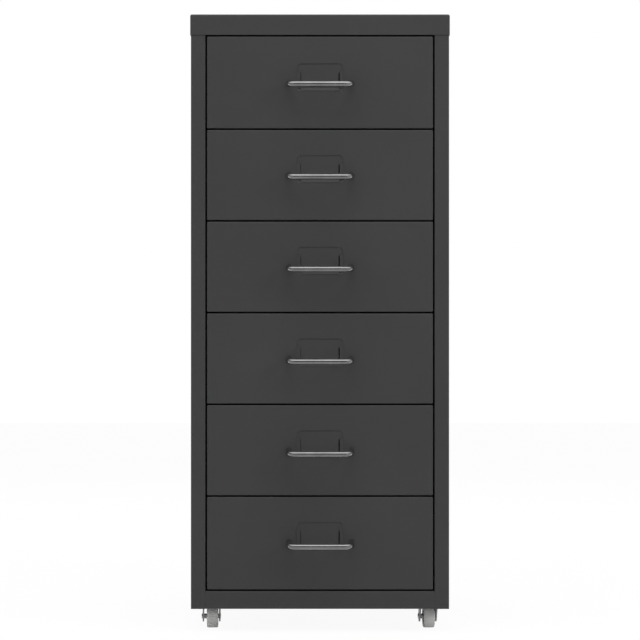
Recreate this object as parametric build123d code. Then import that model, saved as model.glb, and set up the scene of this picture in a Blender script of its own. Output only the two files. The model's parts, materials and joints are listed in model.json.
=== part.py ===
from build123d import *
import math
import os

# A narrow sheet-steel drawer cabinet on four small swivel casters. Millimetres, +Z up.
# The drawers face -Y and +X is on the viewer's right. The origin is on the floor, at the
# middle of the whole cabinet's width and of its depth from the handles to the rear screws.

# Case
lid_width = 280.0
lid_depth = 400.0
lid_lip = 22.2
lid_corner = 2.0
sheet = 0.8
lip_fold = 1.2
flange_width = 15.7
return_lip = 12.0
rear_flange = 12.0
top_flange = 12.0
rail_height = 19.3
rail_cap = 10.0
skirt_drop = 10.0
upstand = 10.0
seam = 0.2
hem_height = 9.0
hem_gap = 0.6
bead_height = 1.5
bead_width = 16.0
bead_pitch = 110.0
bead_margin = 60.0

# Drawers
drawer_count = 6
front_height = 97.3
reveal = 1.6
bottom_drop = 2.6
top_rise = 1.9
front_depth = 12.0
front_fold = 1.2
tray_floor = 4.0
tray_headroom = 21.3
tray_flange = 6.0
rim_play = 0.3
rear_room = 14.4
tray_fold = 1.2
front_tab = 5.0
back_fold = 10.0
ear_reach = 9.0
ear_length = 10.0
runner_hold = 76.5
stop_gap = 0.5
runner_grip = 4.4
runner_under = 0.3
runner_over = 0.5
runner_fold = 1.2

# Label pocket pressed in each front, measured from the handle's root line
pocket_width = 51.4
pocket_top = 22.0
pocket_foot = 8.6
pocket_depth = 1.2
pocket_corner = 5.0
window_width = 42.4
catch_top = 12.5
catch_thickness = 0.6
ledge_top = 4.9
ledge_bulge = 0.5
ledge_tuck = 0.3
ledge_gap = 0.6
slot_left = 0.3
slot_right = 1.1
slot_tuck = 1.5
slot_margin = 0.8

# Handle
handle_wire = 6.3
handle_beside = 8.05
handle_reach = 28.0
handle_droop = 3.0
handle_bend = 8.5
handle_thread = 3.0
thread_depth = 8.0

# Screws
screw_play = 0.1
pan_head = 6.4
pan_height = 2.2
shell_screw = 3.0
shell_screw_length = 8.0
back_screw_rows = 4
back_screw_margin = 40.0
tab_length = 24.0
tab_width = 14.0
tab_count = 3

# Casters
caster_inset = 40.0
plate_gap = 0.8
caster_turn = 3.5
plate_size = 36.0
plate_thickness = 1.5
bolt_edge = 5.0
plate_corner = 4.0
wheel_size = 25.0
wheel_width = 12.2
wheel_round = 1.4
hub_size = 5.6
hub_play = 0.2
web_depth = 1.8
rim_thickness = 2.9
trail = 8.0
wheel_left_gap = 3.2
wheel_right_gap = 1.0
fork_thickness = 1.5
fork_fold = 2.2
crown_gap = 1.5
crown_length = 19.0
leg_end = 6.0
axle_size = 3.0
axle_play = 0.06
axle_fit = 0.02
axle_head = 5.6
axle_head_height = 1.1
axle_end_height = 0.5
race_size = 20.0
race_rim = 1.2
race_core = 9.0
race_foot = 0.5
race_roof = 3.2
ball_size = 2.0
ball_count = 10
ball_play = 0.15
kingpin_size = 5.0
kingpin_play = 0.06
kingpin_head = 9.0
kingpin_head_height = 1.1
kingpin_seat = 7.0
kingpin_seat_height = 0.8
bolt_size = 3.0

# Caster levels, from the floor up
fork_crown = wheel_size + crown_gap + fork_thickness
race_under = fork_crown + ball_size + 2 * ball_play
plate_under = race_under + race_roof
floor_height = plate_under + plate_thickness
foot_height = floor_height - skirt_drop
fork_width = wheel_width + wheel_left_gap + wheel_right_gap + 2 * fork_thickness
wheel_shift = (wheel_left_gap - wheel_right_gap) / 2
race_pocket = race_size - 2 * race_rim
ring_radius = (race_pocket + race_core) / 4

# Case faces
case_width = lid_width - 2 * sheet
case_depth = lid_depth - 2 * sheet
fold = lid_corner - sheet
wall_out = case_width / 2
wall_in = wall_out - sheet
opening_half = wall_out - flange_width
handle_front = handle_reach + handle_wire / 2
whole_depth = handle_front + case_depth + sheet + pan_height
front_y = handle_front - whole_depth / 2
back_y = front_y + case_depth
back_panel_rear = back_y - sheet
back_panel_front = back_panel_rear - sheet

# Drawer levels and faces
front_half = opening_half - reveal
rim_half = front_half - sheet - rim_play
tray_half = rim_half - tray_flange
tray_length = case_depth - rear_room
tray_end = front_y + tray_length
tray_rear = tray_end - back_fold
flange_under = front_height - tray_headroom
drawer_travel = tray_length - return_lip - stop_gap - runner_hold
runner_start = front_y + return_lip + stop_gap
runner_end = back_panel_front - sheet - upstand / 2
ear_start = runner_start + drawer_travel
pitch = front_height + reveal
rail_top = foot_height + rail_height
first_cell = rail_top + reveal + bottom_drop
lid_foot = first_cell + drawer_count * pitch + top_rise
lid_top = lid_foot + lid_lip
lid_under = lid_top - sheet
handle_span = pocket_width + 2 * handle_beside

# Screw places
shell_hole = shell_screw + 2 * screw_play
flange_screw_x = wall_out - rear_flange / 2
lid_screw_z = lid_foot + lid_lip / 2
sill_screw_z = floor_height + sheet + upstand / 2
tab_screw_x = wall_out - tab_width * 0.6
sill_screw_span = case_width / 2


def block(x0, x1, y0, y1, z0, z1):
    """A plain block between two corners, given in any order."""
    size = Box(abs(x1 - x0), abs(y1 - y0), abs(z1 - z0))
    return Pos((x0 + x1) / 2, (y0 + y1) / 2, (z0 + z1) / 2) * size


def folded(points, radii, thickness=sheet):
    """The section of a folded sheet. The points follow one face, with the sheet on its left."""
    corners = [Vector(*point) for point in points]
    runs = [(b - a).normalized() for a, b in zip(corners, corners[1:])]
    normals = [Vector(-run.Y, run.X) for run in runs]
    inner = [corners[0] + normals[0] * thickness]
    inner_radii = []
    for index in range(len(corners) - 2):
        before, after = normals[index], normals[index + 1]
        mitre = (before + after) * (thickness / (1 + before.dot(after)))
        inner.append(corners[index + 1] + mitre)
        turns_left = runs[index].cross(runs[index + 1]).Z > 0
        inner_radii.append(radii[index] + (-thickness if turns_left else thickness))
    inner.append(corners[-1] + normals[-1] * thickness)
    near = FilletPolyline(*corners, radius=radii)
    far = FilletPolyline(*inner, radius=inner_radii)
    ends = [Line(corners[0], inner[0]), Line(corners[-1], inner[-1])]
    return make_face(near.edges() + far.edges() + ends)


def along_z(section, z0, z1):
    """A section drawn in x and y, drawn out from one level to another."""
    return Pos(0, 0, z0) * extrude(section, amount=z1 - z0)


def along_y(section, y0, y1):
    """A section drawn in x and z, drawn out from one depth to another."""
    return Pos(0, y1, 0) * extrude(Plane.XZ * section, amount=y1 - y0)


def along_x(section, x0, x1):
    """A section drawn in y and z, drawn out from one side to another."""
    return Pos(x0, 0, 0) * extrude(Plane.YZ * section, amount=x1 - x0)


def rod_y(radius, x, y0, y1, z):
    """A round bar along the depth."""
    return Pos(x, (y0 + y1) / 2, z) * Rot(90, 0, 0) * Cylinder(radius, abs(y1 - y0))


def rod_z(radius, x, y, z0, z1):
    """An upright round bar."""
    return Pos(x, y, (z0 + z1) / 2) * Cylinder(radius, abs(z1 - z0))


def mirrored(shape):
    """The same piece for the other side of the cabinet."""
    return mirror(shape, about=Plane.YZ)


def pan_screw(size, length):
    """A pan-head screw along +Z, with the underside of its head at the origin."""
    dome = Pos(0, 0, -pan_height / 2) * Cylinder(pan_head / 2, pan_height)
    rim = dome.edges().filter_by(GeomType.CIRCLE).group_by(Axis.Z)[0]
    dome = fillet(rim, pan_height * 0.6)
    shank = Pos(0, 0, length / 2) * Cylinder(size / 2, length)
    tip = shank.edges().filter_by(GeomType.CIRCLE).group_by(Axis.Z)[-1]
    shank = chamfer(tip, size / 6)
    slot = Pos(0, 0, -pan_height) * Box(pan_head * 0.55, size / 4, pan_height * 0.9)
    cross = slot + Rot(0, 0, 90) * slot
    return dome + shank - cross


def tab_places():
    """Depths of the screw tabs along each side wall's foot, clear of the casters."""
    span = case_depth - 2 * (caster_inset + plate_size)
    step = span / (tab_count + 1)
    start = front_y + caster_inset + plate_size
    return [start + step * (index + 1) for index in range(tab_count)]


def back_screw_levels():
    """Levels of the screws up each rear flange."""
    low = floor_height + upstand + back_screw_margin
    high = lid_foot - back_screw_margin
    step = (high - low) / (back_screw_rows - 1)
    return [low + step * index for index in range(back_screw_rows)]


def top_panel():
    lid = block(-lid_width / 2, lid_width / 2, front_y - sheet, back_y + sheet, lid_foot, lid_top)
    corners = lid.edges().filter_by(Axis.Z) + lid.faces().sort_by(Axis.Z)[-1].edges()
    lid = fillet(corners, lid_corner)
    inside = block(-wall_out, wall_out, front_y, back_y, lid_foot - sheet, lid_under)
    corners = inside.edges().filter_by(Axis.Z) + inside.faces().sort_by(Axis.Z)[-1].edges()
    lid -= fillet(corners, fold)
    reach = opening_half - seam
    lid += block(-reach, reach, front_y - sheet / 2, front_y + rail_cap, lid_foot, lid_foot + sheet)
    for side in (-1, 1):
        x = side * flange_screw_x
        lid -= rod_y(shell_hole / 2, x, back_y - sheet, back_y + 2 * sheet, lid_screw_z)
    return lid


def side_panel():
    """The right side wall; the left one is its mirror image."""
    outline = [
        (opening_half, front_y + return_lip),
        (opening_half, front_y),
        (wall_out, front_y),
        (wall_out, back_y),
        (wall_out - rear_flange, back_y),
    ]
    wall = along_z(folded(outline, [lip_fold, fold, fold]), foot_height, lid_under - fold)
    shelf_y = (front_y + return_lip, back_y - rear_flange)
    shelf = [(wall_out, lid_under - 2 * fold), (wall_out, lid_under), (wall_out - top_flange, lid_under)]
    wall += along_y(folded(shelf, [fold]), *shelf_y)
    hem = wall_in - hem_gap
    wall += block(hem - sheet, hem, *shelf_y, foot_height, foot_height + hem_height)
    wall += block(hem - sheet, wall_in, *shelf_y, foot_height, foot_height + sheet)
    for y in tab_places():
        half = tab_length / 2
        tab = block(wall_out - tab_width, wall_in, y - half, y + half, floor_height - sheet, floor_height)
        bores = rod_z(shell_hole / 2, tab_screw_x, y, floor_height - 2 * sheet, floor_height + sheet)
        wall += tab - bores
    for z in back_screw_levels() + [lid_screw_z]:
        wall -= rod_y(shell_hole / 2, flange_screw_x, back_y - 2 * sheet, back_y + sheet, z)
    return wall


def back_panel():
    half = wall_out - fold - seam
    panel = block(-half, half, back_panel_front, back_panel_rear, foot_height, lid_under - fold - seam)
    bead_low = floor_height + bead_margin
    bead_high = lid_foot - bead_margin
    bead_long = bead_high - bead_low
    for side in (-1, 1):
        place = Pos(side * bead_pitch / 2, 0, (bead_low + bead_high) / 2)
        outline = Plane.XZ * SlotOverall(bead_long, bead_width, rotation=90)
        ridge = extrude(outline, amount=-bead_height, taper=30)
        hollow_width = bead_width - sheet
        hollow = extrude(
            Plane.XZ * SlotOverall(bead_long - sheet, hollow_width, rotation=90),
            amount=-bead_height,
            taper=30,
        )
        panel += place * Pos(0, back_panel_rear, 0) * ridge
        panel -= place * Pos(0, back_panel_front, 0) * hollow
    for side in (-1, 1):
        for z in back_screw_levels() + [lid_screw_z]:
            x = side * flange_screw_x
            panel -= rod_y(shell_hole / 2, x, back_panel_front - sheet, back_y, z)
    for x in (-sill_screw_span / 2, 0, sill_screw_span / 2):
        panel -= rod_y(shell_hole / 2, x, back_panel_front - sheet, back_y, sill_screw_z)
    return panel


def bottom_panel():
    hem = 2 * sheet + hem_gap
    notch = front_y + return_lip + seam
    rail = [
        (front_y + rail_cap, rail_top),
        (front_y, rail_top),
        (front_y, foot_height),
        (front_y + hem, foot_height),
        (front_y + hem, floor_height),
        (notch + rail_cap, floor_height),
    ]
    hem_fold = hem * 0.48
    bends = [lip_fold, hem_fold, hem_fold, lip_fold - sheet]
    half = opening_half - seam
    panel = along_x(folded(rail, bends), -half, half)
    side_end = min(back_y - fold, back_panel_front) - seam
    stop_y = back_panel_front
    floor_top = floor_height + sheet
    panel += block(-wall_in, wall_in, notch, side_end, floor_height, floor_top)
    for side in (-1, 1):
        x = side * wall_in
        panel += block(x, x - side * sheet, notch, side_end, floor_height, floor_top + upstand)
    half = wall_out - fold - seam
    panel += block(-half, half, side_end - sheet, stop_y, floor_height, floor_top)
    panel += block(-half, half, stop_y - sheet, stop_y, floor_height, floor_top + upstand)
    for x in (-sill_screw_span / 2, 0, sill_screw_span / 2):
        panel -= rod_y(shell_hole / 2, x, stop_y - 2 * sheet, back_y, sill_screw_z)
    for side in (-1, 1):
        for y in tab_places():
            panel -= rod_z(shell_hole / 2, side * tab_screw_x, y, floor_height - sheet, floor_top + sheet)
    for x, y in caster_places():
        for bolt_x, bolt_y in bolt_places(x, y):
            hole = bolt_size / 2 + screw_play
            panel -= rod_z(hole, bolt_x, bolt_y, floor_height - sheet, floor_top + sheet)
    return panel


def shell_screws():
    """The lid's rear screws, the back's screws and the floor's screws, as separate solids."""
    screw = pan_screw(shell_screw, shell_screw_length)
    inward = Rot(90, 0, 0) * screw
    screws = []
    for side in (-1, 1):
        x = side * flange_screw_x
        screws.append(Pos(x, back_y + sheet, lid_screw_z) * inward)
        for z in back_screw_levels():
            screws.append(Pos(x, back_y, z) * inward)
        for y in tab_places():
            screws.append(Pos(side * tab_screw_x, y, floor_height - sheet) * screw)
    for x in (-sill_screw_span / 2, 0, sill_screw_span / 2):
        screws.append(Pos(x, back_panel_rear, sill_screw_z) * inward)
    return screws


def runners():
    """The right-hand runners, one for each drawer."""
    strips = []
    for index in range(drawer_count):
        shelf = cell_level(index) + flange_under - runner_under - sheet
        roof = cell_level(index) + flange_under + sheet + runner_over + sheet
        reach = rim_half - runner_grip
        outline = [(reach, shelf), (wall_in, shelf), (wall_in, roof), (reach, roof)]
        strips.append(along_y(folded(outline, [runner_fold, runner_fold]), runner_start, runner_end))
    return strips


def cell_level(index):
    """Foot of a plain front in drawer 1 at the top to the last one at the bottom."""
    return first_cell + (drawer_count - 1 - index) * pitch


def root_level(index):
    """Level of the handle's roots, halfway up a plain front."""
    return cell_level(index) + front_height / 2


def label_pocket(z):
    """The pressed pocket's cut, and the cup of sheet behind it."""
    tall = pocket_top + pocket_foot
    middle = z + (pocket_top - pocket_foot) / 2
    cut = Plane.XZ * RectangleRounded(pocket_width, tall, pocket_corner)
    cut = Pos(0, front_y, middle) * extrude(cut, amount=-pocket_depth)
    wide = pocket_width + 2 * sheet
    cup = Plane.XZ * RectangleRounded(wide, tall + 2 * sheet, pocket_corner + sheet)
    cup = Pos(0, front_y, middle) * extrude(cup, amount=-pocket_depth - sheet)
    return cut, cup


def drawer_front(index):
    low = cell_level(index)
    high = low + front_height
    if index == 0:
        high += top_rise
    if index == drawer_count - 1:
        low -= bottom_drop
    pan = block(-front_half, front_half, front_y, front_y + front_depth, low, high)
    pan = fillet(pan.faces().sort_by(Axis.Y)[0].edges(), front_fold)
    pan = fillet(pan.edges().filter_by(Axis.Y), sheet)
    hollow = block(
        -front_half + sheet,
        front_half - sheet,
        front_y + sheet,
        front_y + front_depth + sheet,
        low + sheet,
        high - sheet,
    )
    pan -= fillet(hollow.faces().sort_by(Axis.Y)[0].edges(), front_fold - sheet)
    z = root_level(index)
    cut, cup = label_pocket(z)
    pan = pan + cup - cut
    catch_width = (pocket_width - window_width) / 2
    for side in (-1, 1):
        x = side * pocket_width / 2
        inner = x - side * catch_width
        behind = front_y + catch_thickness
        pan += block(x, inner, front_y, behind, z - ledge_top, z + catch_top)
    for side, shown in ((-1, slot_left), (1, slot_right)):
        inner = side * (window_width / 2 - shown)
        outer = side * (window_width / 2 + slot_tuck)
        near = front_y + (catch_thickness + pocket_depth) / 2
        low_end = z - ledge_top + slot_margin
        pan -= block(inner, outer, near, near + 2 * sheet, low_end, z + catch_top - slot_margin)
    foot = front_y + pocket_depth
    lowest = z - pocket_foot
    highest = z - ledge_top
    tuck = front_y + ledge_tuck
    ledge = [
        (front_y, lowest),
        (foot, lowest),
        (foot, lowest + sheet),
        (tuck + catch_thickness, lowest + 2 * sheet),
        (tuck + catch_thickness, highest),
        (tuck, highest),
        (front_y - ledge_bulge, lowest + ledge_bulge),
    ]
    lip = make_face(Polyline(*ledge, close=True))
    ledge_half = window_width / 2 - ledge_gap
    pan += along_x(lip, -ledge_half, ledge_half)
    for side in (-1, 1):
        x = side * handle_span / 2
        pan -= rod_y(handle_thread / 2 + 3 * screw_play, x, front_y - sheet, front_y + 2 * sheet, z)
    return pan


def drawer_tray(index):
    base = cell_level(index) + tray_floor
    flange = cell_level(index) + flange_under
    outline = [
        (-rim_half, flange),
        (-tray_half, flange),
        (-tray_half, base),
        (tray_half, base),
        (tray_half, flange),
        (rim_half, flange),
    ]
    start = front_y + sheet
    bends = [tray_fold - sheet, tray_fold, tray_fold, tray_fold - sheet]
    tray = along_y(folded(outline, bends), start, tray_end)
    for side in (-1, 1):
        edge = side * (rim_half - sheet)
        ear = side * (rim_half + ear_reach)
        tray += block(edge, ear, ear_start, ear_start + ear_length, flange, flange + sheet)
        inner = side * (tray_half - sheet / 2)
        tab = side * (tray_half + front_tab)
        tray += block(inner, tab, start, start + sheet, base + tray_fold, flange - sheet)
    return tray


def drawer_back(index):
    base = cell_level(index) + tray_floor + tray_fold
    top = cell_level(index) + flange_under
    half = tray_half - sheet
    outline = [(-half, tray_end), (-half, tray_rear), (half, tray_rear), (half, tray_end)]
    return along_z(folded(outline, [tray_fold, tray_fold]), base, top)


def drawer_handle(index):
    """A bent wire whose bar hangs a little below its two roots, bored for its screws."""
    z = root_level(index)
    half = handle_span / 2
    drop = handle_droop / handle_reach
    inset = handle_wire / 2
    root = (front_y + inset, z + drop * inset)
    bar = (front_y - handle_reach, z - handle_droop)
    points = [(-half, *root), (-half, *bar), (half, *bar), (half, *root)]
    path = FilletPolyline(*points, radius=handle_bend)
    section = Plane(origin=path @ 0, z_dir=path % 0) * Circle(handle_wire / 2)
    wire = sweep(section, path=path)
    wide = handle_span + 4 * handle_wire
    wire -= block(-wide, wide, front_y, front_y + 2 * handle_wire, z - handle_wire, z + handle_wire)
    for side in (-1, 1):
        bore = handle_thread / 2 + screw_play / 2
        wire -= rod_y(bore, side * half, front_y - thread_depth, front_y + 1, z)
    return wire


def handle_screws(index):
    z = root_level(index)
    grip = sheet + thread_depth - 1
    screw = Rot(90, 0, 0) * pan_screw(handle_thread, grip)
    return [Pos(side * handle_span / 2, front_y + sheet, z) * screw for side in (-1, 1)]


def caster_places():
    """Centres of the four kingpins: the front pair, then the rear pair, left before right."""
    x = wall_in - hem_gap - sheet - plate_gap - plate_size / 2
    near = front_y + caster_inset
    far = back_y - caster_inset
    return [(-x, near), (x, near), (-x, far), (x, far)]


def bolt_places(x, y):
    """The four bolts round one kingpin."""
    half = plate_size / 2 - bolt_edge
    return [(x + sx * half, y + sy * half) for sx in (-1, 1) for sy in (-1, 1)]


def caster_plate(x, y):
    plate = Plane.XY.offset(plate_under) * RectangleRounded(plate_size, plate_size, plate_corner)
    plate = extrude(plate, amount=plate_thickness)
    plate += rod_z(race_size / 2, 0, 0, fork_crown + race_foot, plate_under)
    pocket = rod_z(race_pocket / 2, 0, 0, fork_crown, race_under)
    plate -= pocket - rod_z(race_core / 2, 0, 0, fork_crown, race_under)
    plate -= rod_z(kingpin_size / 2 + axle_fit, 0, 0, fork_crown, floor_height)
    plate -= rod_z(kingpin_seat / 2 + axle_fit, 0, 0, floor_height - kingpin_seat_height, floor_height)
    for bolt_x, bolt_y in bolt_places(0, 0):
        plate -= rod_z(bolt_size / 2 + screw_play, bolt_x, bolt_y, plate_under - 1, floor_height + 1)
    return Pos(x, y, 0) * plate


def turned(x, y, shape):
    """A caster's own piece, drawn about its kingpin with its wheel behind, at its resting turn."""
    return Pos(x, y, 0) * Rot(0, 0, caster_turn) * shape


def caster_fork(x, y):
    half = fork_width / 2
    axle_z = wheel_size / 2
    foot = axle_z - leg_end
    outline = [(half, foot), (half, fork_crown), (-half, fork_crown), (-half, foot)]
    strip = folded(outline, [fork_fold, fork_fold], fork_thickness)
    channel = along_y(strip, -crown_length, trail + wheel_size)
    front = -crown_length / 2
    shoulder = fork_crown - 2 * fork_thickness
    crown = Polyline(
        (front, fork_crown),
        (-front, fork_crown),
        (-front, shoulder),
        (front, shoulder),
        close=True,
    )
    leg = Pos(trail, axle_z) * CenterArc((0, 0), leg_end, 0, 360)
    side = make_hull(crown.edges() + leg.edges())
    fork = channel & along_x(side, -fork_width, fork_width)
    fork -= rod_z(kingpin_size / 2 + kingpin_play, 0, 0, shoulder, fork_crown + 1)
    hole = Pos(0, trail, axle_z) * Rot(0, 90, 0) * Cylinder(axle_size / 2 + axle_fit, 2 * fork_width)
    return turned(x, y, fork - hole)


def caster_wheel(x, y):
    """Half a section turned about the axle: it sits to one side of its hub, with a dished web."""
    rim = wheel_size / 2
    left = wheel_shift - wheel_width / 2
    right = wheel_shift + wheel_width / 2
    web_outer = rim - rim_thickness
    hub = fork_width / 2 - fork_thickness - hub_play
    bore = axle_size / 2 + axle_play
    points = [
        (bore, -hub),
        (hub_size / 2, -hub),
        (hub_size / 2, left + web_depth),
        (web_outer, left + web_depth),
        (web_outer + web_depth / 2, left),
        (rim, left),
        (rim, right),
        (web_outer + web_depth / 2, right),
        (web_outer, right - web_depth),
        (hub_size / 2, right - web_depth),
        (hub_size / 2, hub),
        (bore, hub),
    ]
    section = make_face(Polyline(*points, close=True))
    tread = [corner for corner in section.vertices() if corner.X > rim - 0.01]
    section = fillet(tread, wheel_round)
    wheel = revolve(Plane.XZ * section, axis=Axis.Z)
    return turned(x, y, Pos(0, trail, rim) * Rot(0, 90, 0) * wheel)


def caster_axle(x, y):
    """A rivet with its head at the wheel's wide gap and a flatter, peened end at the other."""
    span = fork_width + axle_head_height + axle_end_height
    axle = Pos(0, 0, (axle_end_height - axle_head_height) / 2) * Cylinder(axle_size / 2, span)
    for side, height in ((-1, axle_head_height), (1, axle_end_height)):
        head = Cylinder(axle_head / 2, height)
        head = Pos(0, 0, side * (fork_width + height) / 2) * head
        outer = head.edges().group_by(Axis.Z)[-1 if side > 0 else 0]
        axle += fillet(outer, height * 0.6)
    return turned(x, y, Pos(0, trail, wheel_size / 2) * Rot(0, 90, 0) * axle)


def caster_bolts():
    """Pan-head bolts up through each plate into the floor sheet."""
    bolt = pan_screw(bolt_size, plate_thickness + 3 * sheet)
    bolts = []
    for x, y in caster_places():
        for bolt_x, bolt_y in bolt_places(x, y):
            bolts.append(Pos(bolt_x, bolt_y, plate_under) * bolt)
    return bolts


def caster_kingpins():
    head_top = fork_crown - fork_thickness - hub_play
    pins = []
    for x, y in caster_places():
        pin = rod_z(kingpin_size / 2, x, y, head_top - kingpin_head_height, floor_height)
        pin += rod_z(kingpin_head / 2, x, y, head_top - kingpin_head_height, head_top)
        pin += rod_z(kingpin_seat / 2, x, y, floor_height - kingpin_seat_height, floor_height)
        pins.append(pin)
    return pins


def caster_balls():
    """One ring of balls under each plate's race."""
    balls = []
    level = fork_crown + ball_play + ball_size / 2
    for x, y in caster_places():
        for index in range(ball_count):
            angle = 2 * math.pi * index / ball_count
            dx = ring_radius * math.cos(angle)
            dy = ring_radius * math.sin(angle)
            balls.append(Pos(x + dx, y + dy, level) * Sphere(ball_size / 2))
    return balls


def save(name, shape):
    """One file for one node; a list is a group of separate solids."""
    if isinstance(shape, list):
        shape = Compound(children=shape)
    export_step(shape, "parts/" + name + ".step")


os.makedirs("parts", exist_ok=True)

right_side = side_panel()
right_runners = runners()
save("top_panel", top_panel())
save("right_side_panel", right_side)
save("left_side_panel", mirrored(right_side))
save("back_panel", back_panel())
save("bottom_panel", bottom_panel())
save("shell_screws", shell_screws())
save("right_runners", right_runners)
save("left_runners", [mirrored(strip) for strip in right_runners])

for index in range(drawer_count):
    drawer = "drawer_" + str(index + 1)
    save(drawer + "_front", drawer_front(index))
    save(drawer + "_tray", drawer_tray(index))
    save(drawer + "_back", drawer_back(index))
    save(drawer + "_handle", drawer_handle(index))
    save(drawer + "_handle_screws", handle_screws(index))

caster_names = ["front_left", "front_right", "rear_left", "rear_right"]
for name, (x, y) in zip(caster_names, caster_places()):
    caster = "caster_" + name
    save(caster + "_plate", caster_plate(x, y))
    save(caster + "_fork", caster_fork(x, y))
    save(caster + "_wheel", caster_wheel(x, y))
    save(caster + "_axle", caster_axle(x, y))
save("caster_bolts", caster_bolts())
save("caster_kingpins", caster_kingpins())
save("caster_balls", caster_balls())
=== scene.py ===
import json
import math
import bpy
from mathutils import Matrix, Vector


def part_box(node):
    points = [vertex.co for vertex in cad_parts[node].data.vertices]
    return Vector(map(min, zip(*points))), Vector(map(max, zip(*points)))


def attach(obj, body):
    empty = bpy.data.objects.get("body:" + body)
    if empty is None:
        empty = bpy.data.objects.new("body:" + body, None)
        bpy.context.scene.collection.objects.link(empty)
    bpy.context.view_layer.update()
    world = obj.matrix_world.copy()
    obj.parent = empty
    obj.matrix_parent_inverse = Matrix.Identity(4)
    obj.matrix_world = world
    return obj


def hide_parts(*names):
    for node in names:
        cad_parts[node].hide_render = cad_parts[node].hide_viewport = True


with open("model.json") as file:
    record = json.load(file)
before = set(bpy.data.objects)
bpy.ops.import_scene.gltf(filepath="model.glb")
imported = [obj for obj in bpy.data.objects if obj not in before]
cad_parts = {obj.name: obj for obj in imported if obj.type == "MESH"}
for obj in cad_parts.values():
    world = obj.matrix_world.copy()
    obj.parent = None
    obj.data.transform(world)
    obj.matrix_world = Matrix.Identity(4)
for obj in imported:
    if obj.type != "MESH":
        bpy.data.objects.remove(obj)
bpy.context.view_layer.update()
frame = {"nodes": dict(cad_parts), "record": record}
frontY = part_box("left_side_panel")[0].y  # plane of the drawer fronts
drawerNames = ["drawer_%d" % n for n in range(1, 7)]
casterNames = ["caster_front_left", "caster_front_right", "caster_rear_left", "caster_rear_right"]
mm = 0.001
print("frame loaded")


# camera, square on to the drawers
cameraSetup = {
    "distance": 3.05,
    "height": 0.3365,
    "lens": 159.17,
    "sensor": 36.0,
}


def addCamera(setup):
    place = (0, frontY - setup["distance"], setup["height"])
    bpy.ops.object.camera_add(location=place, rotation=(math.pi / 2, 0, 0))
    camera = bpy.context.object
    camera.data.sensor_width = setup["sensor"]
    camera.data.lens = setup["lens"]
    camera.data.dof.use_dof = False
    bpy.context.scene.camera = camera


addCamera(cameraSetup)
print("camera set")


# softboxes, and cards that show in reflections alone
lightSetup = {
    "softboxes": {
        "overheadFront": {"at": (0.0, -1.35, 2.3), "aim": (0, 0, 0.35), "size": (1.8, 1.0), "watts": 26},
        "leftFront": {"at": (-1.9, -1.7, 1.3), "aim": (0, 0, 0.33), "size": (0.9, 1.6), "watts": 12},
        "rightFront": {"at": (1.9, -1.7, 1.5), "aim": (0, 0, 0.33), "size": (0.5, 0.9), "watts": 17},
        "rear": {"at": (0.0, 2.0, 1.7), "aim": (0, 0, 0.33), "size": (1.6, 1.2), "watts": 14},
    },
    "cards": {
        "frontCard": {"at": (0.0, -4.4, 1.3), "stands": "across", "size": (9.0, 3.4), "grey": 0.03},
        "lowCard": {"at": (0.0, -1.85, 0.01), "stands": "flat", "size": (5.0, 3.3), "grey": 0.36},
        "leftCard": {"at": (-3.2, -1.9, 1.5), "stands": "along", "size": (3.0, 5.0), "grey": 0.22},
        "rightCard": {"at": (3.2, -1.9, 1.5), "stands": "along", "size": (3.0, 5.0), "grey": 0.34},
    },
    "cardTurns": {"across": (math.pi / 2, 0, 0), "flat": (0, 0, 0), "along": (0, math.pi / 2, 0)},
    "fill": 0.6,
    "floorSize": 12.0,
    "floorColour": (0.96, 0.96, 0.96, 1),
    "floorRoughness": 0.9,
    "floorSpecular": 0.1,
    "floorWhite": 0.94,  # share of plain white that the camera sees in the floor
}


def addSoftbox(name, box):
    bpy.ops.object.light_add(type="AREA", location=box["at"])
    lamp = bpy.context.object
    lamp.name = name
    lamp.data.shape = "RECTANGLE"
    lamp.data.size, lamp.data.size_y = box["size"]
    lamp.data.energy = box["watts"]
    aim = Vector(box["aim"]) - lamp.location
    lamp.rotation_euler = aim.to_track_quat("-Z", "Y").to_euler()
    lamp.visible_glossy = False


def addNode(tree, kind, values=None, **settings):
    node = tree.nodes.new(kind)
    for key, value in settings.items():
        setattr(node, key, value)
    for key, value in (values or {}).items():
        node.inputs[key].default_value = value
    return node


def cameraOrMirror(tree):
    # 1 for what the camera sees straight, in a mirror or through glass
    path = addNode(tree, "ShaderNodeLightPath")
    first = addNode(tree, "ShaderNodeMath", operation="MAXIMUM")
    second = addNode(tree, "ShaderNodeMath", operation="MAXIMUM")
    tree.links.new(path.outputs["Is Camera Ray"], first.inputs[0])
    tree.links.new(path.outputs["Is Glossy Ray"], first.inputs[1])
    tree.links.new(first.outputs[0], second.inputs[0])
    tree.links.new(path.outputs["Is Transmission Ray"], second.inputs[1])
    return second.outputs[0]


def setWorld(setup):
    world = bpy.data.worlds.new("studioWorld")
    bpy.context.scene.world = world
    world.use_nodes = True
    tree = world.node_tree
    tree.nodes.clear()
    output = addNode(tree, "ShaderNodeOutputWorld")
    mix = addNode(tree, "ShaderNodeMixShader")
    fill = addNode(tree, "ShaderNodeBackground", {"Color": (1, 1, 1, 1), "Strength": setup["fill"]})
    white = addNode(tree, "ShaderNodeBackground", {"Color": (1, 1, 1, 1), "Strength": 1.0})
    tree.links.new(cameraOrMirror(tree), mix.inputs[0])
    tree.links.new(fill.outputs[0], mix.inputs[1])
    tree.links.new(white.outputs[0], mix.inputs[2])
    tree.links.new(mix.outputs[0], output.inputs["Surface"])


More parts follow.
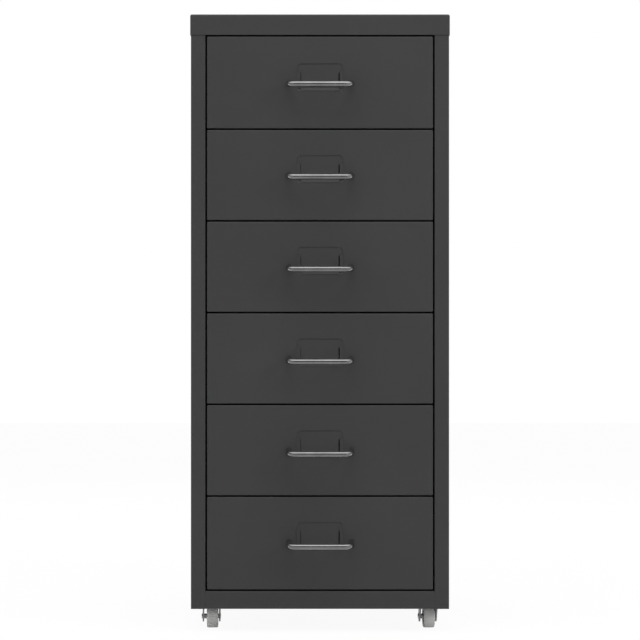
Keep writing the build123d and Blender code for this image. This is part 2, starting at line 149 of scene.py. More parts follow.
def addFloor(setup):
    bpy.ops.mesh.primitive_plane_add(size=setup["floorSize"], location=(0, 0, 0))
    floor = bpy.context.object
    floor.name = "studioFloor"
    material = bpy.data.materials.new("floorPaper")
    material.use_nodes = True
    tree = material.node_tree
    shader = tree.nodes["Principled BSDF"]
    shader.inputs["Base Color"].default_value = setup["floorColour"]
    shader.inputs["Roughness"].default_value = setup["floorRoughness"]
    shader.inputs["Specular IOR Level"].default_value = setup["floorSpecular"]
    white = addNode(tree, "ShaderNodeEmission", {"Color": (1, 1, 1, 1), "Strength": 1.0})
    share = addNode(tree, "ShaderNodeMath", {1: setup["floorWhite"]}, operation="MULTIPLY")
    mix = addNode(tree, "ShaderNodeMixShader")
    tree.links.new(cameraOrMirror(tree), share.inputs[0])
    tree.links.new(share.outputs[0], mix.inputs[0])
    tree.links.new(shader.outputs[0], mix.inputs[1])
    tree.links.new(white.outputs[0], mix.inputs[2])
    tree.links.new(mix.outputs[0], tree.nodes["Material Output"].inputs["Surface"])
    floor.data.materials.append(material)


def addCard(name, card, turns):
    bpy.ops.mesh.primitive_plane_add(size=1, location=card["at"], rotation=turns[card["stands"]])
    sheet = bpy.context.object
    sheet.name = name
    sheet.scale = (*card["size"], 1)
    material = bpy.data.materials.new(name + "Paper")
    material.use_nodes = True
    tree = material.node_tree
    tree.nodes.clear()
    output = addNode(tree, "ShaderNodeOutputMaterial")
    glow = addNode(tree, "ShaderNodeEmission", {"Color": (1, 1, 1, 1), "Strength": card["grey"]})
    tree.links.new(glow.outputs[0], output.inputs["Surface"])
    sheet.data.materials.append(material)
    sheet.visible_camera = False
    sheet.visible_diffuse = False
    sheet.visible_transmission = False
    sheet.visible_shadow = False


for name, box in lightSetup["softboxes"].items():
    addSoftbox(name, box)
for name, card in lightSetup["cards"].items():
    addCard(name, card, lightSetup["cardTurns"])
setWorld(lightSetup)
addFloor(lightSetup)
bpy.context.scene.view_settings.view_transform = "Standard"
print("studio ready")


# node groups that more than one finish uses
def startGroup(name, inputs, outputs):
    group = bpy.data.node_groups.new(name, "ShaderNodeTree")
    for label, kind, value in inputs:
        socket = group.interface.new_socket(name=label, in_out="INPUT", socket_type=kind)
        socket.default_value = value
    for label, kind in outputs:
        group.interface.new_socket(name=label, in_out="OUTPUT", socket_type=kind)
    return group, group.nodes.new("NodeGroupInput"), group.nodes.new("NodeGroupOutput")


def addNoise(tree, place, scale, detail, roughness=0.5):
    values = {"Scale": scale, "Detail": detail, "Roughness": roughness}
    noise = addNode(tree, "ShaderNodeTexNoise", values)
    tree.links.new(place, noise.inputs["Vector"])
    return noise.outputs["Fac"]


def remap(tree, source, low, high, newLow, newHigh):
    values = {"From Min": low, "From Max": high, "To Min": newLow, "To Max": newHigh}
    node = addNode(tree, "ShaderNodeMapRange", values)
    tree.links.new(source, node.inputs["Value"])
    return node.outputs["Result"]


def calculate(tree, operation, first, second):
    node = addNode(tree, "ShaderNodeMath", operation=operation)
    for index, value in enumerate((first, second)):
        if isinstance(value, (int, float)):
            node.inputs[index].default_value = value
        else:
            tree.links.new(value, node.inputs[index])
    return node.outputs[0]


def mixColours(tree, factor, first, second, blend="MIX"):
    node = addNode(tree, "ShaderNodeMix", data_type="RGBA", blend_type=blend)
    sockets = (node.inputs[0], node.inputs[6], node.inputs[7])
    for socket, value in zip(sockets, (factor, first, second)):
        if isinstance(value, (int, float, tuple)):
            socket.default_value = value
        else:
            tree.links.new(value, socket)
    return node.outputs[2]


def stretched(tree, place, scale):
    node = addNode(tree, "ShaderNodeMapping", {"Scale": scale})
    tree.links.new(place, node.inputs["Vector"])
    return node.outputs[0]


def makePowderGroup():
    # sprayed and baked powder: a pebbled skin, specks of uneven gloss and a slow drift of tone
    inputs = [
        ("Colour", "NodeSocketColor", (0.05, 0.05, 0.05, 1)),
        ("Pebble", "NodeSocketFloat", 900.0),
        ("Drift", "NodeSocketFloat", 0.06),
        ("Gloss", "NodeSocketFloat", 0.42),
    ]
    outputs = [("Colour", "NodeSocketColor"), ("Roughness", "NodeSocketFloat"), ("Height", "NodeSocketFloat")]
    group, source, sink = startGroup("powderSkin", inputs, outputs)
    place = addNode(group, "ShaderNodeTexCoord").outputs["Object"]
    peel = addNode(group, "ShaderNodeTexNoise", {"Detail": 2.0, "Roughness": 0.45})
    group.links.new(place, peel.inputs["Vector"])
    group.links.new(source.outputs["Pebble"], peel.inputs["Scale"])
    speck = addNoise(group, place, 3800.0, 1.0)
    tone = addNoise(group, place, 7.0, 3.0)
    drift = remap(group, tone, 0.3, 0.7, -1.0, 1.0)
    drift = calculate(group, "MULTIPLY", drift, source.outputs["Drift"])
    lift = calculate(group, "ADD", drift, 1.0)
    grain = remap(group, speck, 0.35, 0.65, 0.93, 1.07)
    lift = calculate(group, "MULTIPLY", lift, grain)
    joined = addNode(group, "ShaderNodeCombineColor")
    for channel in joined.inputs:
        group.links.new(lift, channel)
    colour = mixColours(group, 1.0, source.outputs["Colour"], joined.outputs[0], "MULTIPLY")
    group.links.new(colour, sink.inputs["Colour"])
    shine = remap(group, peel.outputs["Fac"], 0.3, 0.7, -0.05, 0.05)
    shine = calculate(group, "ADD", shine, source.outputs["Gloss"])
    group.links.new(shine, sink.inputs["Roughness"])
    fine = calculate(group, "MULTIPLY", speck, 0.25)
    group.links.new(calculate(group, "ADD", peel.outputs["Fac"], fine), sink.inputs["Height"])
    return group


def makeRubGroup():
    # fine rub marks that run one way, gathered in patches
    inputs = [
        ("Amount", "NodeSocketFloat", 0.5),
        ("Stretch", "NodeSocketVector", (1.0, 1.0, 1.0)),
        ("Fineness", "NodeSocketFloat", 900.0),
    ]
    group, source, sink = startGroup("rubMarks", inputs, [("Mask", "NodeSocketFloat")])
    place = addNode(group, "ShaderNodeTexCoord").outputs["Object"]
    run = addNode(group, "ShaderNodeMapping")
    group.links.new(place, run.inputs["Vector"])
    group.links.new(source.outputs["Stretch"], run.inputs["Scale"])
    lines = addNode(group, "ShaderNodeTexNoise", {"Detail": 3.0, "Roughness": 0.6})
    group.links.new(run.outputs[0], lines.inputs["Vector"])
    group.links.new(source.outputs["Fineness"], lines.inputs["Scale"])
    thin = remap(group, lines.outputs["Fac"], 0.54, 0.68, 0.0, 1.0)
    patch = remap(group, addNoise(group, place, 22.0, 2.0), 0.42, 0.62, 0.0, 1.0)
    mask = calculate(group, "MULTIPLY", thin, patch)
    mask = calculate(group, "MULTIPLY", mask, source.outputs["Amount"])
    group.links.new(mask, sink.inputs["Mask"])
    return group


powderGroup = makePowderGroup()
rubGroup = makeRubGroup()


def startMaterial(name):
    material = bpy.data.materials.new(name)
    material.use_nodes = True
    return material, material.node_tree, material.node_tree.nodes["Principled BSDF"]


def placeGroup(tree, group, values):
    node = addNode(tree, "ShaderNodeGroup", node_tree=group)
    for key, value in values.items():
        node.inputs[key].default_value = value
    return node


def addBump(tree, shader, height, strength, distance):
    bump = addNode(tree, "ShaderNodeBump", {"Strength": strength, "Distance": distance})
    tree.links.new(height, bump.inputs["Height"])
    tree.links.new(bump.outputs[0], shader.inputs["Normal"])


def makePaint(name, paint):
    material, tree, shader = startMaterial(name)
    labels = ("Colour", "Pebble", "Drift", "Gloss")
    skin = placeGroup(tree, powderGroup, {label: paint[label.lower()] for label in labels})
    colour = skin.outputs["Colour"]
    if paint["rub"] > 0:
        values = {"Amount": paint["rub"], "Stretch": paint["rubStretch"], "Fineness": paint["rubFineness"]}
        marks = placeGroup(tree, rubGroup, values)
        colour = mixColours(tree, marks.outputs["Mask"], colour, paint["rubColour"])
    tree.links.new(colour, shader.inputs["Base Color"])
    tree.links.new(skin.outputs["Roughness"], shader.inputs["Roughness"])
    addBump(tree, shader, skin.outputs["Height"], paint["bump"], 0.0002)
    shader.inputs["Specular IOR Level"].default_value = paint["specular"]
    return material


paintSetup = {
    "casePaint": {
        "colour": (0.038, 0.038, 0.039, 1),
        "pebble": 950.0,
        "drift": 0.05,
        "gloss": 0.44,
        "bump": 0.22,
        "rub": 0.0,
        "specular": 0.37,
    },
    "trayPaint": {
        "colour": (0.040, 0.040, 0.041, 1),
        "pebble": 950.0,
        "drift": 0.07,
        "gloss": 0.48,
        "bump": 0.22,
        "rub": 0.35,
        "rubColour": (0.11, 0.11, 0.11, 1),
        "rubStretch": (1.0, 0.02, 1.0),
        "rubFineness": 700.0,
        "specular": 0.4,
    },
}
paints = {name: makePaint(name, paint) for name, paint in paintSetup.items()}


def makeChrome(setup):
    # plated drawn wire: faint lines along the wire and a slow change of gloss
    material, tree, shader = startMaterial("handleChrome")
    place = addNode(tree, "ShaderNodeTexCoord").outputs["Object"]
    lines = addNoise(tree, stretched(tree, place, setup["lineStretch"]), setup["lineScale"], 3.0)
    cloud = addNoise(tree, place, setup["cloudScale"], 2.0)
    tint = mixColours(tree, remap(tree, cloud, 0.35, 0.65, 0.0, 1.0), setup["dull"], setup["bright"])
    tree.links.new(tint, shader.inputs["Base Color"])
    gloss = remap(tree, lines, 0.3, 0.7, setup["gloss"] - 0.04, setup["gloss"] + 0.05)
    tree.links.new(gloss, shader.inputs["Roughness"])
    addBump(tree, shader, lines, 0.06, 0.0001)
    shader.inputs["Metallic"].default_value = 1.0
    return material


chromeSetup = {
    "bright": (0.5, 0.5, 0.5, 1),
    "dull": (0.42, 0.42, 0.42, 1),
    "gloss": 0.16,
    "lineStretch": (0.03, 1.0, 1.0),
    "lineScale": 2600.0,
    "cloudScale": 60.0,
}
handleChrome = makeChrome(chromeSetup)


def makeSteel(name, steel):
    # zinc-plated steel: a faint crystal mottle under rub marks
    material, tree, shader = startMaterial(name)
    place = addNode(tree, "ShaderNodeTexCoord").outputs["Object"]
    cells = addNode(tree, "ShaderNodeTexVoronoi", {"Scale": steel["spangle"]})
    tree.links.new(place, cells.inputs["Vector"])
    mottle = addNoise(tree, place, steel["spangle"] * 0.6, 4.0)
    blendIn = calculate(tree, "MULTIPLY", remap(tree, mottle, 0.3, 0.7, 0.0, 1.0), 0.8)
    tint = mixColours(tree, blendIn, steel["dull"], steel["bright"])
    marks = placeGroup(tree, rubGroup, {"Amount": 0.5, "Stretch": (0.08, 1.0, 1.0), "Fineness": 1500.0})
    tint = mixColours(tree, marks.outputs["Mask"], tint, steel["worn"])
    tree.links.new(tint, shader.inputs["Base Color"])
    gloss = remap(tree, cells.outputs["Distance"], 0.0, 0.6, steel["gloss"] - 0.06, steel["gloss"] + 0.08)
    tree.links.new(gloss, shader.inputs["Roughness"])
    addBump(tree, shader, mottle, 0.08, 0.0001)
    shader.inputs["Metallic"].default_value = steel["metal"]
    return material


steelSetup = {
    "casterSteel": {
        "dull": (0.16, 0.16, 0.16, 1),
        "bright": (0.24, 0.24, 0.24, 1),
        "worn": (0.36, 0.36, 0.36, 1),
        "spangle": 260.0,
        "gloss": 0.42,
        "metal": 0.9,
    },
    "screwZinc": {
        "dull": (0.44, 0.44, 0.42, 1),
        "bright": (0.58, 0.58, 0.56, 1),
        "worn": (0.7, 0.7, 0.69, 1),
        "spangle": 500.0,
        "gloss": 0.34,
        "metal": 1.0,
    },
    "pinSteel": {
        "dull": (0.38, 0.38, 0.38, 1),
        "bright": (0.5, 0.5, 0.5, 1),
        "worn": (0.66, 0.66, 0.66, 1),
        "spangle": 420.0,
        "gloss": 0.28,
        "metal": 1.0,
    },
}
steels = {name: makeSteel(name, steel) for name, steel in steelSetup.items()}


def makeWheelPlastic(setup):
    # moulded grey plastic with a dusty tread
    material, tree, shader = startMaterial("wheelPlastic")
    place = addNode(tree, "ShaderNodeTexCoord").outputs["Object"]
    cloud = addNoise(tree, place, setup["cloudScale"], 4.0)
    speck = addNoise(tree, place, setup["speckScale"], 2.0)
    tint = mixColours(tree, remap(tree, cloud, 0.35, 0.68, 0.0, 1.0), setup["base"], setup["dusty"])
    grain = remap(tree, speck, 0.3, 0.7, 0.0, 0.25)
    tint = mixColours(tree, grain, tint, setup["dark"])
    tree.links.new(tint, shader.inputs["Base Color"])
    gloss = remap(tree, cloud, 0.3, 0.7, setup["gloss"] - 0.05, setup["gloss"] + 0.1)
    tree.links.new(gloss, shader.inputs["Roughness"])
    addBump(tree, shader, speck, 0.12, 0.0002)
    return material


wheelSetup = {
    "base": (0.58, 0.58, 0.57, 1),
    "dusty": (0.65, 0.65, 0.635, 1),
    "dark": (0.5, 0.5, 0.49, 1),
    "gloss": 0.5,
    "cloudScale": 140.0,
    "speckScale": 2400.0,
}
wheelPlastic = makeWheelPlastic(wheelSetup)

slotFinishes = {
    "case_paint": paints["casePaint"],
    "front_paint": paints["casePaint"],
    "tray_paint": paints["trayPaint"],
    "handle_wire": handleChrome,
    "zinc_screws": steels["screwZinc"],
    "caster_steel": steels["casterSteel"],
    "caster_pins": steels["pinSteel"],
    "wheel_plastic": wheelPlastic,
}


def finishObject(piece, material):
    piece.data.materials.clear()
    piece.data.materials.append(material)


for part in frame["record"]["subparts"]:
    finishObject(frame["nodes"][part["node"]], slotFinishes[part["material_slot"]])
print("finishes ready")


# shared steps of the modelling
def clearSelection():
    if bpy.context.object and bpy.context.object.mode != "OBJECT":
        bpy.ops.object.mode_set(mode="OBJECT")
    bpy.ops.object.select_all(action="DESELECT")


def applyPlace():
    bpy.ops.object.transform_apply(location=True, rotation=True, scale=True)


def addCube(low, high):
    clearSelection()
    place = [(a + b) / 2 for a, b in zip(low, high)]
    bpy.ops.mesh.primitive_cube_add(size=1, location=place)
    piece = bpy.context.object
    piece.scale = [b - a for a, b in zip(low, high)]
    applyPlace()
    return piece


def pick(piece, kind, test):
    # leaves edit mode on, with only the faces, edges or vertices that pass the test selected
    bpy.ops.object.mode_set(mode="EDIT")
    bpy.ops.mesh.select_mode(type={"polygons": "FACE", "edges": "EDGE", "vertices": "VERT"}[kind])
    bpy.ops.mesh.select_all(action="DESELECT")
    bpy.ops.object.mode_set(mode="OBJECT")
    mesh = piece.data
    for element in getattr(mesh, kind):
        if kind == "edges":
            element.select = test(*(mesh.vertices[i].co for i in element.vertices))
        else:
            element.select = test(element)
    bpy.ops.object.mode_set(mode="EDIT")


def pushOut(x=0.0, y=0.0, z=0.0):
    bpy.ops.mesh.extrude_region_move(TRANSFORM_OT_translate={"value": (x, y, z)})


def faceOutwards():
    bpy.ops.mesh.select_all(action="SELECT")
    bpy.ops.mesh.remove_doubles(threshold=1e-6)
    bpy.ops.mesh.normals_make_consistent(inside=False)


def runModifiers(piece):
    bpy.ops.object.mode_set(mode="OBJECT")
    for modifier in list(piece.modifiers):
        bpy.ops.object.modifier_apply(modifier=modifier.name)


def thicken(piece, thickness, side=-1):
    bpy.ops.object.mode_set(mode="OBJECT")
    sheet = piece.modifiers.new("sheet", "SOLIDIFY")
    sheet.thickness = thickness
    sheet.offset = side
    sheet.use_even_offset = True
    runModifiers(piece)


def soften(piece, width):
    edge = piece.modifiers.new("softEdge", "BEVEL")
    edge.width = width
    edge.segments = 2
    edge.limit_method = "ANGLE"
    edge.angle_limit = math.radians(35)
    runModifiers(piece)


def joinPieces(first, *others):
    clearSelection()
    for piece in (first, *others):
        piece.select_set(True)
    bpy.context.view_layer.objects.active = first
    bpy.ops.object.join()


def settle(piece, name, smoothAngle=35):
    # flat faces stay flat beside the round edges
    bpy.ops.object.mode_set(mode="OBJECT")
    bpy.ops.object.shade_smooth_by_angle(angle=math.radians(smoothAngle))
    even = piece.modifiers.new("evenNormals", "WEIGHTED_NORMAL")
    even.keep_sharp = True
    runModifiers(piece)
    piece.name = name
    piece.data.name = name


def copyAt(source, name, offset, turn=0.0):
    # each copy has its own mesh, turned about the upright and moved within the mesh
    twin = source.copy()
    twin.data = source.data.copy()
    twin.name = name
    twin.data.name = name
    bpy.context.scene.collection.objects.link(twin)
    twin.data.transform(Matrix.Translation(offset) @ Matrix.Rotation(turn, 4, "Z"))
    return twin


def settleInto(piece, body, slotName, *nodes):
    finishObject(piece, slotFinishes[slotName])
    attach(piece, body)
    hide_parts(*nodes)


# drawer handles: one wire with two bends, cut flush where it meets the front
handleSetup = {
    "radius": 3.15 * mm,
    "span": 67.5 * mm,
    "reach": 28.0 * mm,
    "droop": 3.0 * mm,
    "bend": 8.5 * mm,
    "sides": 32,
    "bendSteps": 12,
    "tuck": 1.5 * mm,
}


def rootHeight(drawer):
    # the wire droops in front, so its roots lie above the middle of its box
    low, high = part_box(drawer + "_handle")
    return (low.z + high.z) / 2 + handleSetup["droop"] / 2


def makeHandle(setup):
    # drawn with its roots at z = 0
    clearSelection()
    half, bend, straight = setup["span"] / 2, setup["bend"], setup["reach"] - setup["bend"]
    start = (-half, frontY + setup["tuck"], 0)
    circle = {"vertices": setup["sides"], "radius": setup["radius"], "rotation": (math.pi / 2, 0, 0)}
    bpy.ops.mesh.primitive_circle_add(location=start, **circle)
    piece = bpy.context.object
    applyPlace()
    bpy.ops.object.mode_set(mode="EDIT")
    bpy.ops.mesh.select_all(action="SELECT")
    pushOut(y=-straight - setup["tuck"])
    elbow = {"steps": setup["bendSteps"], "angle": -math.pi / 2, "axis": (0, 0, 1)}
    bpy.ops.mesh.spin(center=(-half + bend, frontY - straight, 0), **elbow)
    pushOut(x=setup["span"] - 2 * bend)
    bpy.ops.mesh.spin(center=(half - bend, frontY - straight, 0), **elbow)
    pushOut(y=straight + setup["tuck"])
    bpy.ops.object.mode_set(mode="OBJECT")
    tilt = math.atan2(setup["droop"], setup["reach"])
    root = Matrix.Translation((0, frontY, 0))
    piece.data.transform(root @ Matrix.Rotation(tilt, 4, "X") @ root.inverted())
    bpy.ops.object.mode_set(mode="EDIT")
    bpy.ops.mesh.select_all(action="SELECT")
    bpy.ops.mesh.bisect(plane_co=(0, frontY, 0), plane_no=(0, 1, 0), use_fill=True, clear_outer=True)
    faceOutwards()
    settle(piece, "wireHandle")
    return piece


wireHandle = makeHandle(handleSetup)
for drawer in drawerNames:
    twin = copyAt(wireHandle, drawer + "_wire_handle", (0, 0, rootHeight(drawer)))
    settleInto(twin, drawer, "handle_wire", drawer + "_handle")
bpy.data.objects.remove(wireHandle)
print("handles bent")


# drawer fronts: a folded pan with the label pocket pressed into its face
frontSetup = {
    "sheet": 0.8 * mm,
    "fold": 1.2 * mm,
    "foldSteps": 5,
    "depth": 12.0 * mm,
    "pocketHalf": 25.7 * mm,
    "pocketTop": 22.0 * mm,
    "pocketFoot": 8.6 * mm,
    "pocketDepth": 1.2 * mm,
    "pocketSlope": 2.0 * mm,
    "pocketCorner": 5.0 * mm,
    "cornerSteps": 8,
    "pressSteps": 8,
    "windowHalf": 21.2 * mm,
    "catchTop": 12.5 * mm,
    "catchThick": 0.6 * mm,
    "catchRound": 1.4 * mm,
    "edgeRound": 0.15 * mm,
    "slotLeft": 0.3 * mm,
    "slotRight": 1.1 * mm,
    "slotTuck": 1.5 * mm,
    "slotMargin": 0.8 * mm,
    "ledgeTop": 4.9 * mm,
    "ledgeBulge": 0.5 * mm,
    "ledgeTuck": 0.3 * mm,
    "ledgeGap": 0.6 * mm,
    "ledgeFold": 0.35 * mm,
    "keptEdge": 8.0 * mm,  # what stays in shape at the top and foot of a taller front
}


def makePan(setup, low, high):
    # an open-backed pan whose front edges and corners are bent round, without its flat face
    pan = addCube((low.x, frontY, low.z), (high.x, frontY + setup["depth"], high.z))
    pick(pan, "polygons", lambda face: face.normal.y > 0.9)
    bpy.ops.mesh.delete(type="FACE")
    pick(pan, "edges", lambda a, b: min(a.y, b.y) < frontY + setup["depth"] / 2)
    bpy.ops.mesh.bevel(offset=setup["fold"], segments=setup["foldSteps"], affect="EDGES")
    pick(pan, "polygons", lambda face: face.normal.y < -0.999)
    bpy.ops.mesh.delete(type="ONLY_FACE")
    bpy.ops.object.mode_set(mode="OBJECT")
    return pan


def makePocket(setup, rootZ):
    # a rounded outline pressed back in small steps, so that its rim and foot are soft
    clearSelection()
    wide, tall = 2 * setup["pocketHalf"], setup["pocketTop"] + setup["pocketFoot"]
    centre = (0, frontY, rootZ + (setup["pocketTop"] - setup["pocketFoot"]) / 2)
    bpy.ops.mesh.primitive_plane_add(size=1, location=centre, rotation=(math.pi / 2, 0, 0))
    pocket = bpy.context.object
    pocket.scale = (wide, tall, 1)
    applyPlace()
    bpy.ops.object.mode_set(mode="EDIT")
    bpy.ops.mesh.select_mode(type="VERT")
    bpy.ops.mesh.select_all(action="SELECT")
    bpy.ops.mesh.bevel(offset=setup["pocketCorner"], segments=setup["cornerSteps"], affect="VERTICES")
    bpy.ops.mesh.select_all(action="SELECT")
    bpy.ops.mesh.delete(type="ONLY_FACE")
    bpy.ops.mesh.select_all(action="SELECT")
    depth, slope = 0.0, 0.0
    for step in range(1, setup["pressSteps"] + 1):
        share = step / setup["pressSteps"]
        newDepth = setup["pocketDepth"] * (1 - math.cos(math.pi * share)) / 2
        newSlope = setup["pocketSlope"] * share
        pushOut(y=newDepth - depth)
        shrink = [(side - 2 * newSlope) / (side - 2 * slope) for side in (wide, tall)]
        bpy.ops.transform.resize(value=(shrink[0], 1, shrink[1]), center_override=centre)
        depth, slope = newDepth, newSlope
    bpy.ops.object.mode_set(mode="OBJECT")
    return pocket


def addSlotEdge(setup, rootZ, side, shown):
    # the outline of a slot punched in the pocket's floor, part of it under a catch
    clearSelection()
    inner, outer = side * (setup["windowHalf"] - shown), side * (setup["windowHalf"] + setup["slotTuck"])
    low, high = setup["slotMargin"] - setup["ledgeTop"], setup["catchTop"] - setup["slotMargin"]
    place = ((inner + outer) / 2, frontY + setup["pocketDepth"], rootZ + (low + high) / 2)
    bpy.ops.mesh.primitive_plane_add(size=1, location=place, rotation=(math.pi / 2, 0, 0))
    edge = bpy.context.object
    edge.scale = (abs(outer - inner), high - low, 1)
    applyPlace()
    pick(edge, "polygons", lambda face: True)
    bpy.ops.mesh.delete(type="ONLY_FACE")
    bpy.ops.object.mode_set(mode="OBJECT")
    return edge


def makeCatch(setup, rootZ, side):
    # one of the two tongues that hold a label by its edges
    inner, outer = side * setup["windowHalf"], side * (setup["pocketHalf"] + setup["sheet"] / 2)
    low = (min(inner, outer), frontY, rootZ - setup["ledgeTop"])
    high = (max(inner, outer), frontY + setup["catchThick"], rootZ + setup["catchTop"])
    catch = addCube(low, high)
    middle = rootZ + setup["catchTop"] / 2
    pick(catch, "edges", lambda a, b: min(a.z, b.z) > middle and abs(a.x - inner) + abs(b.x - inner) < 1e-6)
    bpy.ops.mesh.bevel(offset=setup["catchRound"], segments=6, affect="EDGES")
    bpy.ops.mesh.select_all(action="SELECT")
    bpy.ops.mesh.bevel(offset=setup["edgeRound"], segments=2, affect="EDGES")
    bpy.ops.object.mode_set(mode="OBJECT")
    return catch


def makeLedge(setup, rootZ):
    # a strip that comes out of the pocket's floor and leans back at its top
    clearSelection()
    half = setup["windowHalf"] - setup["ledgeGap"]
    foot = rootZ - setup["pocketFoot"] + setup["sheet"]
    depth = setup["pocketDepth"]
    bpy.ops.mesh.primitive_plane_add(size=1, location=(0, frontY + depth / 2, foot))
    ledge = bpy.context.object
    ledge.scale = (2 * half, depth, 1)
    applyPlace()
    pick(ledge, "edges", lambda a, b: max(a.y, b.y) < frontY + 1e-6)
    nose = -setup["ledgeBulge"] + setup["catchThick"] / 2
    pushOut(y=nose, z=-setup["ledgeBulge"] / 2)
    rise = rootZ - setup["ledgeTop"] - foot + setup["ledgeBulge"] / 2
    lean = setup["ledgeTuck"] + setup["catchThick"] / 2 - nose
    pushOut(y=lean, z=rise)
    bendZ = foot - setup["ledgeBulge"] / 2
    pick(ledge, "edges", lambda a, b: max(abs(a.z - bendZ), abs(b.z - bendZ)) < 1e-6)
    bpy.ops.mesh.bevel(offset=setup["ledgeFold"], segments=4, affect="EDGES")
    thicken(ledge, setup["catchThick"], 0)
    return ledge


def makeFront(setup, low, high, rootZ):
    pan = makePan(setup, low, high)
    slots = ((-1, setup["slotLeft"]), (1, setup["slotRight"]))
    slotEdges = [addSlotEdge(setup, rootZ, side, shown) for side, shown in slots]
    joinPieces(pan, makePocket(setup, rootZ), *slotEdges)
    # the flat face between the bent edges and the pocket, then the pocket's floor round the slots
    for level, reach in ((frontY, high.x), (frontY + setup["pocketDepth"], setup["pocketHalf"])):
        onLevel = lambda v: abs(v.y - level) < 1e-6 and abs(v.x) < reach
        pick(pan, "edges", lambda a, b: onLevel(a) and onLevel(b))
        bpy.ops.mesh.fill(use_beauty=True)
    faceOutwards()
    thicken(pan, setup["sheet"])
    joinPieces(pan, makeCatch(setup, rootZ, -1), makeCatch(setup, rootZ, 1), makeLedge(setup, rootZ))
    settle(pan, "plainFront", 30)
    return pan


def stretchFrom(piece, level, amount):
    # moves what lies beyond a level, so that a taller front keeps its folds
    for vertex in piece.data.vertices:
        if (vertex.co.z - level) * amount > 0:
            vertex.co.z += amount


plainDrawer = drawerNames[1]
plainLow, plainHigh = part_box(plainDrawer + "_front")
plainRoot = rootHeight(plainDrawer)
plainFront = makeFront(frontSetup, plainLow, plainHigh, plainRoot)
for drawer in drawerNames:
    rise = rootHeight(drawer) - plainRoot
    low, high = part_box(drawer + "_front")
    twin = copyAt(plainFront, drawer + "_pressed_front", (0, 0, rise))
    stretchFrom(twin, high.z - frontSetup["keptEdge"], high.z - plainHigh.z - rise)
    stretchFrom(twin, low.z + frontSetup["keptEdge"], low.z - plainLow.z - rise)
    settleInto(twin, drawer, "front_paint", drawer + "_front")
bpy.data.objects.remove(plainFront)
print("fronts pressed")


# the rail's ends are welded to the flanges and dressed almost flush before painting
weldSetup = {
    "inner": 123.2 * mm,
    "outer": 124.6 * mm,
    "behind": 0.12 * mm,
    "depth": 0.8 * mm,
    "foot": 25.4 * mm,
    "top": 43.0 * mm,
    "softEdge": 0.1 * mm,
}


def makeWeld(setup, side):
    inner, outer = side * setup["inner"], side * setup["outer"]
    low = (min(inner, outer), frontY + setup["behind"], setup["foot"])
    high = (max(inner, outer), frontY + setup["behind"] + setup["depth"], setup["top"])
    weld = addCube(low, high)
    soften(weld, setup["softEdge"])
    return weld


for name, side in (("left_rail_weld", -1), ("right_rail_weld", 1)):
    weld = makeWeld(weldSetup, side)
    settle(weld, name)
    settleInto(weld, "cabinet", "case_paint")
print("rail welded")


# casters: drawn about the kingpin with the wheel behind it, then turned as the solids are
casterSetup = {
    "turn": math.radians(3.5),
    "trail": 8.0 * mm,
    "wheelRadius": 12.5 * mm,
    "wheelWidth": 12.2 * mm,
    "wheelShift": 1.1 * mm,
    "wheelRound": 1.4 * mm,
    "wheelSides": 72,
    "rimInset": 0.6 * mm,
    "webSlope": 0.9 * mm,
    "webDepth": 1.8 * mm,
    "webRadius": 9.6 * mm,
    "hubRadius": 2.8 * mm,
    "hubHalf": 8.0 * mm,
    "hubStep": 0.1 * mm,
    "boreRadius": 1.56 * mm,
    "softEdge": 0.2 * mm,
    "forkWidth": 19.4 * mm,
    "forkSheet": 1.5 * mm,
    "forkFold": 2.2 * mm,
    "crownTop": 28.0 * mm,
    "crownLength": 19.0 * mm,
    "shoulderDrop": 3.0 * mm,
    "legEnd": 6.0 * mm,
    "legTip": 0.4 * mm,
    "legSteps": 8,
}


def makeWheel(setup):
    clearSelection()
    size = {"radius": setup["wheelRadius"], "depth": setup["wheelWidth"], "vertices": setup["wheelSides"]}
    place = (setup["wheelShift"], setup["trail"], setup["wheelRadius"])
    bpy.ops.mesh.primitive_cylinder_add(location=place, rotation=(0, math.pi / 2, 0), **size)
    wheel = bpy.context.object
    applyPlace()
    pick(wheel, "edges", lambda a, b: abs(a.x - b.x) < 1e-6)
    bpy.ops.mesh.bevel(offset=setup["wheelRound"], segments=6, affect="EDGES")
    pick(wheel, "polygons", lambda face: abs(face.normal.x) > 0.999)
    bpy.ops.mesh.inset(thickness=setup["rimInset"])
    bpy.ops.mesh.inset(thickness=setup["webSlope"], depth=-setup["webDepth"])
    bpy.ops.mesh.inset(thickness=setup["webRadius"] - setup["hubRadius"])
    hubRise = setup["hubHalf"] - setup["wheelWidth"] / 2 + setup["webDepth"]
    bpy.ops.mesh.inset(thickness=setup["hubStep"], depth=hubRise)
    # the hub reaches both legs alike, while the rim stays nearer to the right one
    bpy.ops.transform.translate(value=(-setup["wheelShift"], 0, 0))
    bpy.ops.mesh.inset(thickness=setup["hubRadius"] - setup["hubStep"] - setup["boreRadius"])
    bpy.ops.mesh.bridge_edge_loops()
    faceOutwards()
    bpy.ops.object.mode_set(mode="OBJECT")
    soften(wheel, setup["softEdge"])
    settle(wheel, "plainWheel", 30)
    return wheel


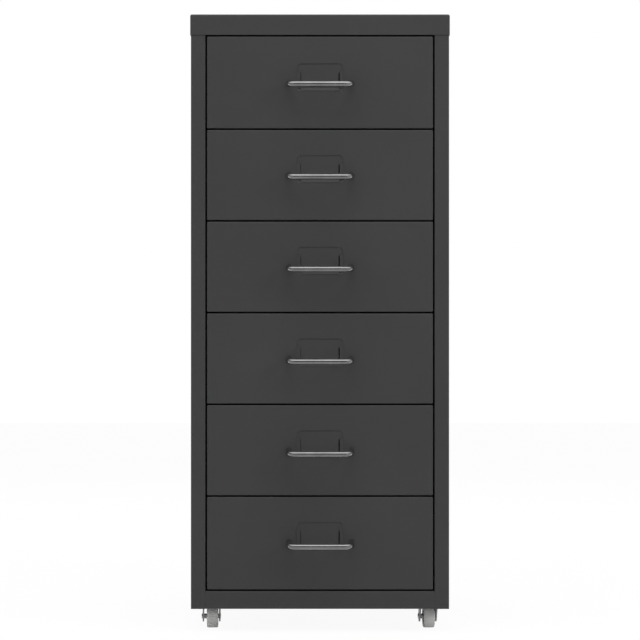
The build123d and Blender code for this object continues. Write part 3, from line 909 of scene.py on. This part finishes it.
def makeFork(setup):
    # one strip: the crown, then both legs drawn down to a round end
    clearSelection()
    half, crownHalf = setup["forkWidth"] / 2, setup["crownLength"] / 2
    bpy.ops.mesh.primitive_plane_add(size=1, location=(0, 0, setup["crownTop"]))
    fork = bpy.context.object
    fork.scale = (2 * half, 2 * crownHalf, 1)
    applyPlace()
    pick(fork, "edges", lambda a, b: abs(a.x - b.x) < 1e-6)
    pushOut(z=-setup["shoulderDrop"])
    level, centreY, width = setup["crownTop"] - setup["shoulderDrop"], 0.0, crownHalf
    for step in range(setup["legSteps"] + 1):
        angle = math.pi / 2 * step / setup["legSteps"]
        newLevel = setup["wheelRadius"] - setup["legEnd"] * math.sin(angle)
        newWidth = max(setup["legEnd"] * math.cos(angle), setup["legTip"])
        pushOut(y=setup["trail"] - centreY, z=newLevel - level)
        middle = (0, setup["trail"], newLevel)
        bpy.ops.transform.resize(value=(1, newWidth / width, 1), center_override=middle)
        level, centreY, width = newLevel, setup["trail"], newWidth
    top = setup["crownTop"] - 1e-6
    pick(fork, "edges", lambda a, b: min(a.z, b.z) > top and abs(a.x - b.x) < 1e-6)
    bpy.ops.mesh.bevel(offset=setup["forkFold"], segments=6, affect="EDGES")
    faceOutwards()
    thicken(fork, setup["forkSheet"])
    soften(fork, setup["softEdge"])
    settle(fork, "plainFork", 30)
    return fork


def casterPlace(caster):
    low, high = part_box(caster + "_plate")
    return ((low.x + high.x) / 2, (low.y + high.y) / 2, 0)


plainWheel = makeWheel(casterSetup)
plainFork = makeFork(casterSetup)
for caster in casterNames:
    wheel = copyAt(plainWheel, caster + "_moulded_wheel", casterPlace(caster), casterSetup["turn"])
    settleInto(wheel, caster + "_roll", "wheel_plastic", caster + "_wheel")
    fork = copyAt(plainFork, caster + "_formed_fork", casterPlace(caster), casterSetup["turn"])
    settleInto(fork, caster + "_swivel", "caster_steel", caster + "_fork")
bpy.data.objects.remove(plainWheel)
bpy.data.objects.remove(plainFork)
print("casters formed")
